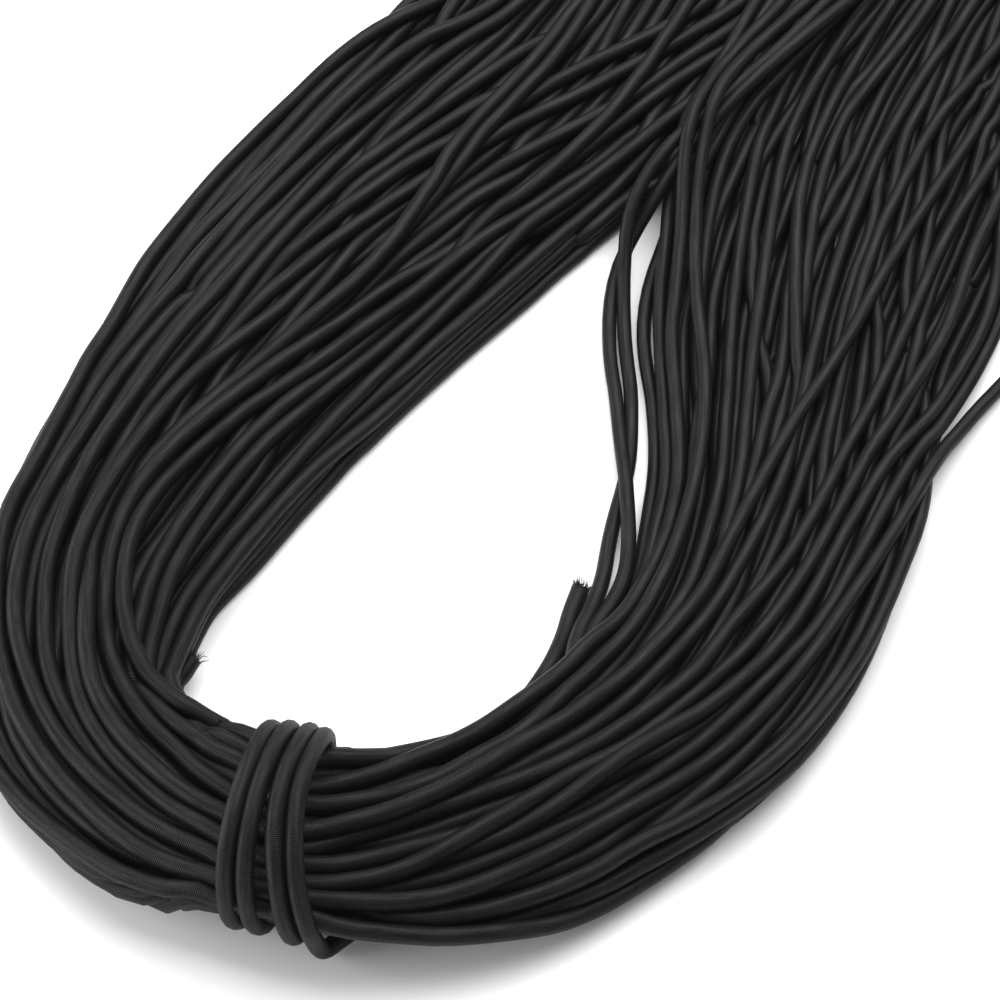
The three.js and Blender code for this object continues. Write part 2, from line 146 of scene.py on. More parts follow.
# Turns that show on top, by the pixels of the photograph that they pass. A higher tier lies over
# a lower one where they cross.
Trace = namedtuple("Trace", "leg tier pixels")
TRACES = (
    Trace("right", 1, (
        (345, 767), (380, 760), (400, 755), (440, 742), (480, 724), (520, 698), (558, 671), (591, 639),
        (622, 607), (642, 573), (662, 532), (675, 494), (680, 458), (680, 412), (672, 320), (678, 275),
        (683, 218), (690, 119), (743, 30), (778, 0),
    )),
    Trace("right", 1, (
        (340, 785), (380, 781), (420, 774), (440, 768), (460, 757), (500, 735), (520, 722), (558, 690),
        (596, 653), (628, 620), (654, 579), (678, 526), (699, 449), (707, 366), (697, 264), (699, 172),
        (720, 87), (791, 5),
    )),
    Trace("right", 0, (
        (669, 604), (688, 575), (701, 540), (722, 458), (729, 366), (735, 287), (747, 195), (764, 115),
        (778, 87),
    )),
    Trace("right", 2, (
        (340, 802), (380, 798), (400, 793), (420, 786), (440, 779), (480, 757), (520, 731), (558, 708),
        (596, 679), (635, 648), (673, 605), (702, 573), (735, 508), (765, 451), (807, 382), (851, 320),
        (892, 243), (945, 161), (1000, 80),
    )),
    Trace("right", 0, (
        (731, 504), (743, 449), (751, 366), (760, 298), (773, 207), (791, 119), (835, 41), (860, 5),
    )),
    Trace("right", 1, (
        (495, 760), (520, 750), (571, 724), (609, 695), (647, 662), (686, 621), (720, 577), (756, 514),
        (786, 449), (809, 360), (830, 275), (853, 202), (892, 115), (938, 41), (968, 2),
    )),
    Trace("right", 0, (
        (728, 614), (761, 554), (788, 497), (813, 423), (840, 345), (848, 325),
    )),
    Trace("right", 1, (
        (340, 811), (380, 806), (400, 802), (440, 792), (480, 781), (520, 766), (558, 748), (580, 737),
        (622, 712), (660, 682), (699, 649), (728, 607), (751, 581), (790, 533), (820, 483), (848, 428),
        (885, 363), (922, 282), (952, 216), (1000, 142),
    )),
    Trace("right", 1, (
        (340, 868), (360, 866), (380, 862), (400, 856), (420, 848), (460, 829), (500, 805), (540, 781),
        (580, 756), (620, 730), (660, 699), (720, 651), (772, 598), (811, 542), (841, 487), (873, 432),
        (912, 379), (949, 320), (975, 239), (1000, 200),
    )),
    Trace("right", 1, (
        (505, 810), (540, 796), (580, 773), (620, 744), (660, 716), (700, 695), (740, 662), (760, 644),
        (798, 600), (832, 540), (859, 490), (896, 437), (940, 396), (980, 330), (1000, 285),
    )),
    Trace("right", 1, (
        (405, 862), (440, 856), (480, 843), (520, 828), (560, 809), (600, 789), (640, 764), (680, 734),
        (720, 703), (779, 648), (820, 605), (855, 550), (885, 490), (917, 443), (960, 394), (1000, 322),
    )),
    Trace("right", 2, (
        (340, 887), (360, 888), (380, 889), (400, 889), (440, 882), (480, 869), (520, 850), (560, 829),
        (600, 806), (640, 782), (680, 757), (720, 731), (760, 695), (811, 638), (848, 586), (885, 531),
        (921, 476), (960, 419), (1000, 376), (1040, 335),
    )),
    Trace("right", 0, (
        (641, 580), (653, 533), (665, 482), (669, 440), (665, 395), (662, 339), (661, 275), (666, 237),
        (671, 190), (678, 138), (694, 92), (722, 53), (754, 0),
    )),
    Trace("right", -1, (
        (642, 552), (650, 501), (656, 456), (656, 420), (651, 380), (645, 345), (643, 313), (647, 275),
        (654, 255), (668, 225),
    )),
    Trace("right", 0, (
        (740, 765), (760, 750), (780, 735), (800, 712), (815, 695), (830, 674), (843, 653), (857, 628),
        (873, 595), (885, 568), (896, 538), (903, 510),
    )),
    Trace("right", 0, (
        (340, 904), (360, 908), (400, 913), (440, 911), (480, 904), (520, 893), (560, 877), (600, 859),
        (640, 832), (680, 815), (720, 793), (760, 767), (800, 733), (820, 708), (848, 672), (864, 646),
        (880, 614), (896, 579), (910, 545), (921, 510), (928, 476),
    )),
    Trace("right", 0, (
        (798, 360), (798, 264), (801, 184), (824, 108), (883, 2),
    )),
    Trace("right", 0, (
        (809, 250), (814, 207), (821, 172), (830, 138), (846, 103), (869, 71), (899, 37), (925, 2),
    )),
    Trace("right", 1, (
        (858, 292), (869, 248), (883, 213), (902, 174), (920, 138), (943, 99), (973, 64), (1000, 30),
    )),
    Trace("right", 0, (
        (702, 250), (709, 211), (716, 174), (727, 133), (748, 96), (778, 67), (810, 34), (840, 5),
    )),
    Trace("right", 0, (
        (340, 829), (360, 827), (400, 820), (440, 810), (480, 800), (520, 784),
    )),
    Trace("right", 0, (
        (340, 849), (360, 846), (400, 837), (440, 826), (470, 812),
    )),
    Trace("right", 0, (
        (345, 757), (380, 754), (410, 748), (440, 740), (470, 730), (500, 714),
    )),
    Trace("right", 0, (
        (430, 894), (460, 889), (500, 882), (540, 872), (560, 866), (600, 849), (640, 822), (660, 810),
        (700, 782), (740, 744), (760, 722), (780, 696), (800, 668),
    )),
    Trace("right", 0, (
        (480, 876), (520, 869), (560, 854), (600, 838), (640, 800), (680, 776), (715, 750),
    )),
    Trace("right", 0, (
        (342, 922), (365, 925), (400, 927), (440, 926), (480, 920), (520, 908), (560, 895), (600, 879),
        (640, 853), (680, 834), (720, 811), (760, 783), (800, 749), (820, 722), (840, 692),
    )),
    Trace("right", 0, (
        (352, 940), (375, 941), (400, 940), (440, 937), (480, 932), (520, 923), (560, 911), (600, 893),
        (640, 868),
    )),
    Trace("left", 0, (
        (240, 749), (220, 742), (200, 734), (180, 723), (160, 710), (146, 697),
    )),
    Trace("left", 0, (
        (242, 761), (220, 754), (200, 745), (180, 734), (165, 722),
    )),
    Trace("left", 0, (
        (222, 796), (200, 788), (180, 777), (160, 764), (140, 748), (120, 725), (110, 712), (98, 696),
    )),
    Trace("left", 0, (
        (232, 787), (210, 782), (190, 774), (170, 760), (150, 741), (130, 724), (110, 704), (100, 695),
    )),
    Trace("left", 0, (
        (212, 850), (200, 847), (180, 841), (160, 832), (140, 822), (120, 809), (100, 792), (85, 776),
        (72, 758),
    )),
    Trace("left", 0, (
        (210, 882), (180, 874), (160, 867), (140, 859), (120, 848), (100, 834), (80, 818), (60, 802),
        (45, 788), (30, 772), (18, 757), (8, 742), (0, 728), (-10, 700),
    )),
    Trace("left", 0, (
        (212, 898), (180, 890), (160, 884), (140, 877), (120, 868), (100, 856), (80, 842), (60, 827),
        (38, 810), (24, 796), (12, 780), (0, 762),
    )),
    Trace("left", 0, (
        (213, 867), (180, 857), (140, 839), (120, 827), (100, 810), (82, 792), (68, 776), (54, 760),
        (42, 744), (32, 728), (22, 711), (13, 693), (6, 675), (0, 655), (-6, 620), (-5, 560), (6, 505),
        (24, 473), (40, 447), (58, 410), (77, 376), (90, 348), (109, 320), (120, 300), (145, 260),
        (175, 220), (220, 165), (266, 117), (323, 66), (376, 26), (420, 0),
    )),
    Trace("left", 0, (
        (220, 225), (266, 172), (312, 124), (358, 80), (404, 43), (450, 18), (484, 4),
    )),
    Trace("left", 0, (
        (220, 243), (266, 190), (316, 142), (376, 94), (433, 48), (479, 18), (507, 7),
    )),
    Trace("left", 0, (
        (220, 836), (200, 831), (180, 824), (160, 814), (140, 803), (120, 789), (100, 773), (80, 752),
        (62, 729), (48, 707), (36, 684), (27, 662), (19, 640), (13, 615), (12, 590), (17, 555), (27, 520),
        (40, 493), (54, 467), (74, 433), (93, 403), (109, 376), (127, 350), (148, 325), (168, 300),
    )),
    Trace("left", 0, (
        (110, 758), (95, 744), (84, 731), (74, 715), (64, 697), (55, 678), (47, 657), (43, 635),
        (42, 600), (44, 552), (65, 495), (95, 438), (132, 387), (168, 336), (196, 300),
    )),
    Trace("left", 0, (
        (70, 552), (86, 502), (109, 447), (141, 398), (178, 353), (214, 311), (266, 241), (316, 190),
        (376, 142), (427, 101), (491, 55), (553, 18), (580, 4),
    )),
    Trace("left", 0, (
        (222, 812), (200, 806), (180, 797), (160, 784), (140, 769), (120, 751), (104, 732), (92, 710),
        (82, 686), (75, 663), (71, 640), (69, 615), (69, 590), (74, 548), (99, 490), (132, 438),
        (171, 387), (214, 346), (265, 309), (281, 300),
    )),
    Trace("left", 0, (
        (150, 736), (135, 717), (125, 701), (115, 689), (105, 673), (96, 655), (90, 640), (86, 620),
        (87, 590), (97, 541), (125, 483), (168, 428), (214, 385), (269, 343), (322, 307),
    )),
    Trace("left", 0, (
        (237, 774), (220, 769), (200, 758), (180, 744), (160, 727), (145, 711), (130, 690), (118, 668),
        (109, 645), (104, 620), (101, 582), (116, 518), (143, 470), (187, 424), (235, 385), (288, 348),
        (343, 309), (380, 280), (444, 241), (506, 198), (570, 152), (632, 105), (700, 58), (780, 5),
    )),
    Trace("left", 0, (
        (232, 734), (220, 728), (200, 717), (183, 704), (165, 688), (150, 671), (136, 647), (125, 615),
        (121, 587), (127, 529), (155, 479), (201, 435), (251, 396), (311, 360), (366, 320), (410, 292),
        (476, 237), (508, 218),
    )),
    Trace("left", 0, (
        (136, 610), (155, 555), (187, 502), (223, 456), (269, 410), (327, 362), (400, 305),
    )),
    Trace("left", 0, (
        (150, 594), (187, 534), (223, 481), (265, 435), (315, 387), (373, 341), (400, 321),
    )),
    Trace("left", 0, (
        (187, 589), (223, 536), (265, 488), (306, 442), (357, 389), (414, 335), (472, 280), (522, 227),
        (586, 179), (650, 130), (720, 75), (800, 15),
    )),
    Trace("left", 0, (
        (174, 645), (197, 602), (232, 553), (277, 501), (328, 450), (381, 405), (466, 327), (535, 267),
        (594, 215), (635, 177), (700, 118), (760, 60),
    )),
    Trace("left", 0, (
        (540, 275), (600, 226), (640, 193), (690, 160), (750, 110), (820, 50),
    )),
    Trace("left", 0, (
        (560, 250), (605, 217), (640, 189), (700, 172), (765, 125), (840, 70),
    )),
    Trace("left", 0, (
        (380, 393), (407, 367), (440, 338), (472, 312), (499, 289), (536, 257), (563, 234), (586, 218),
    )),
    Trace("left", 0, (
        (220, 305), (261, 266), (319, 216), (380, 170), (449, 126), (518, 87), (563, 64), (640, 28),
        (720, -10),
    )),
    Trace("left", 0, (
        (380, 152), (407, 133), (442, 113), (476, 90), (504, 74), (527, 60),
    )),
    Trace("left", 0, (
        (220, 321), (261, 287), (319, 241), (380, 195), (449, 149), (508, 115), (575, 85), (609, 67),
        (690, 25), (770, -15),
    )),
    Trace("left", 0, (
        (380, 237), (440, 195), (508, 154), (575, 117), (644, 80), (667, 64), (740, 20), (800, -20),
    )),
    Trace("left", 0, (
        (380, 253), (414, 232), (449, 207), (479, 184), (508, 163),
    )),
)

# Soft lights by their places from the view's target, as the camera sees it, in metres and watts
SoftLight = namedtuple("SoftLight", "name back left up width height power")
LIGHTS = (
    SoftLight("side_panel", 0.0, 0.75, 0.2, 0.7, 0.4, 8.0),
    SoftLight("top_panel", 0.35, -0.1, 0.6, 0.9, 0.8, 12.0),
)

# How far turns wander sideways and between layers, by their place along the hank
Wander = namedtuple("Wander", "share sideways layer")
WANDERING = (
    Wander(0.00, 0.00, 0.0),
    Wander(0.04, 0.05, 0.2),
    Wander(0.12, 0.30, 0.6),
    Wander(0.30, 0.35, 0.6),
    Wander(0.45, 0.15, 0.4),
    Wander(0.55, 0.15, 0.4),
    Wander(0.68, 0.16, 0.5),
    Wander(0.88, 0.10, 0.4),
    Wander(0.96, 0.04, 0.2),
    Wander(1.00, 0.00, 0.0),
)

# How much lower than the top turns the others lie, by their place along the hank
SUNK = (
    (0.0, 0.0), (0.05, 0.1), (0.10, 0.6), (0.18, 1.8), (0.42, 1.8), (0.5, 0.0), (0.6, 0.8), (0.9, 0.8),
    (0.96, 0.2), (1.0, 0.0),
)

# Share of its full thickness that the cord has, by its place along the hank
THICKNESS = (
    (0.0, 1.0), (0.05, 1.0), (0.09, 0.93), (0.14, 0.82), (0.20, 0.77), (0.30, 0.77), (0.45, 0.88),
    (0.55, 0.90), (0.70, 0.82), (0.80, 0.86), (0.90, 0.94), (0.96, 1.0), (1.0, 1.0),
)

# Sections round the hank, and of them how many a turn takes to ease between courses and how many
# lie near the tie
STATIONS = 292
EASE_STATIONS = 20
TIE_STATIONS = 8
HEX_ROW = math.sqrt(3) / 2
CORD_SIDES = 12

# From this freedom on, a turn counts as kept to its course
HELD_FROM = 0.3

# How far such a turn may leave the outline, in millimetres: in all, and for each station after
# the tie and before it
FREE_REACH = 20
LOOSER_AFTER_TIE = 0.7
LOOSER_BEFORE_TIE = 0.35

# Shares of a fault that one step of settling takes away
SMOOTHING = 0.5
PUSH_APART = 0.3
PUSH_OVER = 0.4
PIN_DOWN = 0.6
LIFT_UP = 0.6


def catmull_rom(points, steps, closed=False):
    """Points on a smooth curve through points, a number of steps to each span."""
    points = np.array(points, float)
    if closed:
        before, after = np.roll(points, 1, 0), np.roll(points, -1, 0)
        starts = points
        slopes = (after - before) / 2
        ends, end_slopes = after, np.roll(slopes, -1, 0)
    else:
        slopes = np.gradient(points, axis=0)
        starts, ends = points[:-1], points[1:]
        slopes, end_slopes = slopes[:-1], slopes[1:]
    t = (np.arange(steps) / steps)[None, :, None]
    curve = (
        starts[:, None] * (2 * t**3 - 3 * t**2 + 1)
        + slopes[:, None] * (t**3 - 2 * t**2 + t)
        + ends[:, None] * (3 * t**2 - 2 * t**3)
        + end_slopes[:, None] * (t**3 - t**2)
    ).reshape(-1, points.shape[1])
    return curve if closed else np.vstack([curve, points[-1:]])


def evenly(points, spacing):
    """The same line with its points about one spacing apart."""
    points = np.array(points, float)
    gone = np.concatenate([[0], np.cumsum(np.linalg.norm(np.diff(points, axis=0), axis=1))])
    count = max(2, round(gone[-1] / spacing) + 1)
    wanted = np.linspace(0, gone[-1], count)
    return np.stack([np.interp(wanted, gone, points[:, axis]) for axis in range(3)], 1)


class HankForm:
    """The sizes and places of the hank's sections at even stations round its middle line."""

    def __init__(self, cord_diameter, turns, packing, flat_share):
        fine = catmull_rom([tuple(row) for row in SECTIONS], 100, closed=True)
        closed = np.vstack([fine, fine[:1]])
        gone = np.concatenate([[0], np.cumsum(np.linalg.norm(np.diff(closed[:, :2], axis=0), axis=1))])
        self.length = gone[-1]
        self.spacing = self.length / STATIONS
        self.flat_share = flat_share
        self.radius = cord_diameter / 2
        wanted = np.arange(STATIONS) * self.spacing
        rows = np.stack([np.interp(wanted, gone, closed[:, column]) for column in range(5)], 1)
        self.middle = rows[:, :2]
        self.half_width = rows[:, 2] / 2
        self.lift = np.maximum(0, rows[:, 3])
        self.over = np.maximum(0, rows[:, 4])
        along = np.roll(self.middle, -1, 0) - np.roll(self.middle, 1, 0)
        self.along = along / np.linalg.norm(along, axis=1)[:, None]
        self.outward = np.stack([self.along[:, 1], -self.along[:, 0]], 1)
        self.thickness = self.radius * np.interp(np.arange(STATIONS) / STATIONS, *np.array(THICKNESS).T)
        area = turns * math.pi * self.radius**2 / packing
        self.height = 4 * area / (math.pi * 2 * self.half_width)

    def surface(self, station, across, side):
        """Height of the top (side 1) or underside (side -1) at a distance across a section."""
        share = np.clip(across / self.half_width[station], -1, 1)
        rise = 0.5 * (1 + side * np.sqrt(1 - share**2)) * (1 + self.flat_share) - self.flat_share
        raised = self.over[station] * np.maximum(0, -share) ** 1.5
        return np.maximum(0, rise) * self.height[station] + self.lift[station] + raised

    def place(self, station, across, height):
        """The point in space of a place in a section."""
        flat = self.middle[station] + across[..., None] * self.outward[station]
        return np.concatenate([flat, height[..., None]], -1)

    def section_of(self, point, stations):
        """The station among some, and the distance across it, that a point lies nearest to."""
        offset = point[:2] - self.middle[stations]
        ahead_of_each = np.abs((offset * self.along[stations]).sum(1))
        near = np.argmin(np.linalg.norm(offset, axis=1) + 3 * ahead_of_each)
        station = stations[near]
        ahead = offset[near] @ self.along[station]
        return station + ahead / self.spacing, offset[near] @ self.outward[station]


class PhotoView:
    """The photograph's camera, as numbers that turn a pixel into a ray."""

    def __init__(self, stage):
        azimuth, elevation = stage.azimuth, stage.elevation
        self.forward = np.array([
            -math.sin(azimuth) * math.cos(elevation),
            math.cos(azimuth) * math.cos(elevation),
            -math.sin(elevation),
        ])
        self.right = np.array([math.cos(azimuth), math.sin(azimuth), 0.0])
        self.up = np.cross(self.right, self.forward)
        self.target = np.array(stage.target)
        self.location = self.target - self.forward * stage.distance
        self.focal = stage.distance / (stage.field / PHOTO_SIZE)

    def point(self, pixel, height):
        """The point in millimetres at a height, in millimetres, that shows at a pixel."""
        across = (pixel[0] - PHOTO_SIZE / 2) / self.focal
        down = (pixel[1] - PHOTO_SIZE / 2) / self.focal
        ray = self.forward + across * self.right - down * self.up
        reach = (height * MM - self.location[2]) / ray[2]
        return (self.location + reach * ray) / MM


def slots_in_tie(form, count, rng):
    """Places of the turns in the tie's section, as shares of its half width and height."""
    half_width = form.half_width[0] - form.radius
    half_height = form.height[0] / 2 - form.radius
    pitch = 2 * form.radius * 1.2
    slots = []
    while len(slots) < count:
        pitch *= 0.99
        columns = np.arange(-12, 13)
        rows = np.arange(-12, 13)
        slots = [
            ((column + 0.5 * (row % 2)) * pitch / half_width, (row + 0.3) * HEX_ROW * pitch / half_height)
            for row in rows for column in columns
        ]
        slots = [slot for slot in slots if math.hypot(*slot) <= 1]
    slots = np.array(sorted(slots, key=lambda slot: math.hypot(*slot))[:count])
    order = [int(rng.integers(count))]
    free = set(range(count)) - set(order)
    while free:
        left = np.array(sorted(free))
        step = np.linalg.norm(slots[left] - slots[order[-1]], axis=1) + rng.uniform(0, 0.5, len(left))
        chosen = int(left[np.argmin(step)])
        order.append(chosen)
        free.remove(chosen)
    return slots[order]


def smooth_noise(rng, count, reach):
    """A smooth random series that changes over about a reach of steps."""
    knots = rng.normal(0, 1, count // reach + 4)
    series = np.interp(np.arange(count) / reach, np.arange(len(knots)), knots)
    kernel = np.hanning(reach + 2)
    return np.convolve(np.pad(series, reach, mode="edge"), kernel / kernel.sum(), "same")[reach:-reach]


def smoothed(values, reach):
    """Values for turns by stations, each the mean of those within a reach along the cord."""
    kernel = np.hanning(2 * reach + 3)[1:-1]
    padded = np.pad(values.reshape(-1), reach, mode="edge")
    return np.convolve(padded, kernel / kernel.sum(), "valid").reshape(values.shape)


class Winding:
    """The turns of the hank: for each turn and station, a distance across and a height."""

    def __init__(self, form, view, turns, seed):
        self.form = form
        self.view = view
        self.turns = turns
        self.rng = np.random.default_rng(seed)
        self.stations = np.arange(STATIONS)
        self.share = self.stations / STATIONS
        self.lay_out()
        self.legs = {
            "right": self.stations[: int(0.4 * STATIONS)],
            "left": self.stations[int(0.6 * STATIONS):],
        }
        for route in SLIPPED_TURNS:
            self.pin(*self.route_sections(route))
        for trace in TRACES:
            self.trace(trace)
        self.ease()
        self.spread()

    def lay_out(self):
        """Sets the turns out between their slots, with some wandering."""
        slots = slots_in_tie(self.form, self.turns + 1, self.rng)
        ease = 1 / (1 + np.exp(-(self.share - 0.5) / 0.07))
        starts, ends = slots[:-1, None, :], slots[1:, None, :]
        course = starts + (ends - starts) * ease[None, :, None]
        count = self.turns * STATIONS
        table = np.array(WANDERING)
        for axis, column, reach in ((0, 1, 50), (1, 2, 60)):
            size = np.interp(self.share, table[:, 0], table[:, column])
            noise = smooth_noise(self.rng, count, reach).reshape(self.turns, STATIONS)
            course[:, :, axis] += noise * size[None, :]
        away = np.linalg.norm(course, axis=2)
        course /= np.maximum(1, away)[:, :, None]
        form = self.form
        self.across = course[:, :, 0] * (form.half_width - form.radius)[None, :]
        top = form.surface(self.stations[None, :], self.across, 1) - form.radius
        low = form.radius + form.lift[None, :]
        self.height = low + (top - low) * (0.5 + 0.5 * course[:, :, 1])
        self.wanted_across = np.zeros_like(self.across)
        self.wanted_height = np.zeros_like(self.across)
        self.hold_across = np.zeros_like(self.across)
        self.hold_height = np.zeros_like(self.across)
        self.used = np.zeros(self.across.shape, bool)
        self.tier = np.zeros(self.across.shape, int)
        self.freedom = np.zeros_like(self.across)

    def spread(self):
        """Spreads the turns that keep to no course evenly over the width of each section."""
        form = self.form
        sunk = np.interp(self.share, *np.array(SUNK).T)
        weight = 0.8 * np.clip(sunk / 0.5, 0, 1)
        for station in self.stations:
            free = np.nonzero(self.freedom[:, station] < HELD_FROM)[0]
            order = free[np.argsort(self.wanted_across[free, station])]
            reach = form.half_width[station] - form.thickness[station]
            even = ((np.arange(len(order)) + 0.5) / len(order) * 2 - 1) * reach
            change = weight[station] * (even - self.wanted_across[order, station])
            self.wanted_across[order, station] += change
        self.across = np.where(self.freedom > HELD_FROM, self.across, self.wanted_across)

    def route_sections(self, route):
        """Stations, distances across and heights of a route in space, at whole stations."""
        points = catmull_rom(route, 12)
        leg = self.legs["right"]
        rows = np.array([(*self.form.section_of(point, leg), point[2]) for point in points])
        return self.at_whole_stations(rows)

    def at_whole_stations(self, rows):
        """Stations, distances across and heights of rows, read off at whole stations."""
        rows = rows[np.argsort(rows[:, 0])]
        stations = np.arange(math.ceil(rows[0, 0]), math.floor(rows[-1, 0]) + 1)
        across = np.interp(stations, rows[:, 0], rows[:, 1])
        height = np.interp(stations, rows[:, 0], rows[:, 2])
        return stations % STATIONS, across, height

    def nearest_turn(self, stations, across, lowest_share):
        """A free turn that runs nearest to a course, with its layer above a share."""
        form = self.form
        off = np.abs(self.across[:, stations] - across).mean(1)
        top = form.surface(stations, across, 1)
        layer = (self.height[:, stations] / top).mean(1)
        off += 20 * np.maximum(0, lowest_share - layer)
        if stations[-1] > STATIONS - TIE_STATIONS:
            ahead = np.append(self.across[1:, :TIE_STATIONS].mean(1), np.inf)
            visible = np.append(self.used[1:, TIE_STATIONS], False)
            off = 0.3 * off + np.abs(ahead - across[-1]) - 3 * visible
        margin = EASE_STATIONS
        near = self.stations[max(0, stations[0] - margin):stations[-1] + margin]
        off[self.used[:, near].any(1)] = np.inf
        return int(np.argmin(off))

    def hold(self, turn, stations, across, height, hold_height, tier):
        """Makes a turn keep to a course."""
        self.used[turn, stations] = True
        self.tier[turn, stations] = tier
        self.freedom[turn, stations] = 1
        count = len(stations)
        ends = np.minimum(np.arange(count), np.arange(count)[::-1])
        grip = np.clip(ends / 6 + 0.2, 0, 1)
        self.hold_across[turn, stations] = grip
        self.hold_height[turn, stations] = grip * hold_height
        self.across[turn, stations] = across
        self.height[turn, stations] = height

    def ease(self):
        """Eases the turns between the stretches that keep to a course."""
        used = self.used.reshape(-1)
        freedom = self.freedom.reshape(-1)
        held = np.nonzero(used)[0]
        starts = held[~used[held - 1]]
        ends = held[~used[(held + 1) % len(used)]]
        steps = np.arange(1, EASE_STATIONS)
        fade = 0.5 + 0.5 * np.cos(math.pi * steps / EASE_STATIONS)
        for values, wanted in (
            (self.across, self.wanted_across), (self.height, self.wanted_height),
        ):
            flat = values.reshape(-1)
            total = np.zeros(len(flat))
            weight = np.zeros(len(flat))
            for edges, side in ((starts, -1), (ends, 1)):
                for edge in edges:
                    slope = (flat[edge] - flat[edge - 4 * side]) / 4
                    places = edge + side * steps
                    inside = (places >= 0) & (places < len(flat))
                    blocked = np.cumsum(used[places[inside]]) > 0
                    places, part = places[inside][~blocked], fade[inside][~blocked]
                    onward = flat[edge] + slope * np.minimum(steps[inside][~blocked], 8)
                    total[places] += part * onward
                    weight[places] += part
            flat += np.where(weight > 0, (total - weight * flat) / np.maximum(1, weight), 0)
            freedom[:] = np.maximum(freedom, np.minimum(1, weight))
            wanted[:] = values

    def pin(self, stations, across, height):
        """Takes a turn along a route in space."""
        turn = self.nearest_turn(stations, across, 0)
        self.hold(turn, stations, across, height, 1, 1)

    def trace(self, trace):
        """Takes a turn over the top of the hank, past some pixels of the photograph."""
        rows = []
        form = self.form
        for pixel in catmull_rom(trace.pixels, 4):
            height = 8.0
            for _ in range(5):
                point = self.view.point(pixel, height)
                station, across = form.section_of(point, self.legs[trace.leg])
                height = form.surface(int(round(station)), across, 1) + form.radius * (trace.tier - 1)
            rows.append((station, across, height))
        stations, across, height = self.at_whole_stations(np.array(rows))
        turn = self.nearest_turn(stations, across, 0.7)
        self.hold(turn, stations, across, height, 0, trace.tier + 1)

    def relax(self, steps):
        """Lets the turns settle: no two in the same place, smooth, and down on the surface."""
        form = self.form
        diameter = 2 * form.thickness[:, None]
        wide = diameter[:, :, None]
        tight = np.clip(form.lift / 2.6, 0, 1)[:, None]
        freedom = self.freedom.T
        limit = form.half_width[:, None] - form.thickness[:, None]
        after_tie = np.maximum(0, self.stations - 1)
        before_tie = np.maximum(0, STATIONS - 2 - self.stations)
        loosened = np.minimum(LOOSER_AFTER_TIE * after_tie, LOOSER_BEFORE_TIE * before_tie)[:, None]
        tier = self.tier.T
        above = tier[:, :, None] - tier[:, None, :]
        above = np.where((tier[:, :, None] > 0) & (tier[:, None, :] > 0), np.sign(above), 0)
        pinned = self.hold_height.T > 0
        pinned = pinned[:, :, None] & pinned[:, None, :]
        sunk = np.interp(self.share, *np.array(SUNK).T)[:, None]
        stations = self.stations[:, None]
        for step in range(steps):
            left = 1 - step / steps
            pull = np.where(self.hold_across > 0, 0.5 * self.hold_across, 0.05 + 0.1 * left**2)
            self.across += (self.wanted_across - self.across) * pull
            self.height += (self.wanted_height - self.height) * PIN_DOWN * self.hold_height
            self.height -= 0.02 + 0.06 * left
            reach = 3 + int(8 * left)
            self.across += SMOOTHING * (smoothed(self.across, reach) - self.across)
            self.height += SMOOTHING * (smoothed(self.height, reach) - self.height)
            slope = np.gradient(self.across.reshape(-1)).reshape(self.across.shape) / form.spacing
            cosine = (1 / np.sqrt(1 + slope**2)).T
            across, height = self.across.T, self.height.T
            apart_across = across[:, :, None] - across[:, None, :]
            apart_height = height[:, :, None] - height[:, None, :]
            side = apart_across * 0.5 * (cosine[:, :, None] + cosine[:, None, :])
            distance = np.sqrt(side**2 + apart_height**2) + 1e-4
            push = np.where((distance < wide) & (above == 0) & ~pinned, (wide - distance) / distance, 0)
            over = np.sqrt(np.maximum(0, wide**2 - side**2)) - above * apart_height
            over = above * np.where((above != 0) & (np.abs(side) < wide), np.maximum(0, over), 0)
            across = across + PUSH_APART * (push * apart_across).sum(2)
            height = height + PUSH_APART * (push * apart_height).sum(2) + PUSH_OVER * over.sum(2)
            room = limit + np.minimum(FREE_REACH * freedom, loosened)
            across = np.clip(across, -room, room)
            bounded = np.clip(across, -limit, limit) * (form.half_width[:, None] / limit)
            top = form.surface(stations, bounded, 1) - diameter / 2 + 0.8 * (1 - tight) - sunk
            bottom = diameter / 2 + tight * np.maximum(0, form.surface(stations, bounded, -1))
            top = np.maximum(top, bottom + 0.2) + np.minimum((2 * diameter + sunk) * freedom, loosened)
            height = np.maximum(np.minimum(height, top), bottom)
            self.across, self.height = across.T.copy(), height.T.copy()
            if step % 3 == 0:
                self.lift_over()

